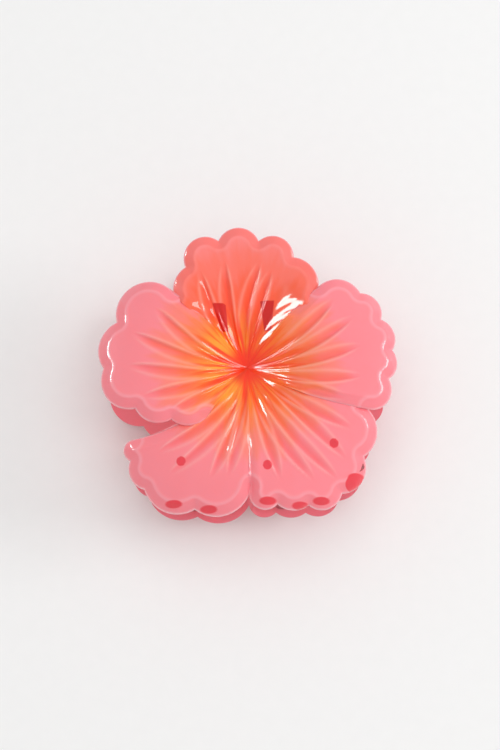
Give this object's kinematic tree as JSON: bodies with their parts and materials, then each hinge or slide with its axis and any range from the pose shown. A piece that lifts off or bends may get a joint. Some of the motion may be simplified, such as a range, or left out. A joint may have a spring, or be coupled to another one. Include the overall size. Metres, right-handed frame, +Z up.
{
  "type": "flower hair clip",
  "caption": "Claw hair clip shaped as a hibiscus flower: two mirrored petal jaws with claw teeth, hinged on a pin and closed by a torsion spring.",
  "frame": {"origin": "on the surface that the clip lies on, below the middle of its outline", "axes": "+Z up, out of the front jaw; +Y towards the squeeze handle (the top petal); +X along the hinge pin, to the right seen from the front"},
  "size_m": [0.0788, 0.0758, 0.039],
  "materials": {
    "jaw_plastic": "clear tinted moulding with a high gloss, painted pink to orange on its inner face",
    "steel": "drawn steel wire, nickel plated"
  },
  "bodies": {
    "rear_jaw": {"rear_petal_jaw": "jaw_plastic", "hinge_pin": "steel", "torsion_spring": "steel"},
    "front_jaw": {"front_petal_jaw": "jaw_plastic"}
  },
  "joints": [
    {"name": "jaw_hinge", "type": "hinge", "parent": "rear_jaw", "child": "front_jaw", "pos_m": [-0.00106, 0.01466, 0.01951], "axis": [-1, 0, 0], "range_deg": [0, 70], "stiffness_Nm_per_rad": 0.14, "springref_deg": -34.38, "deforming": ["torsion_spring"]}
  ]
}
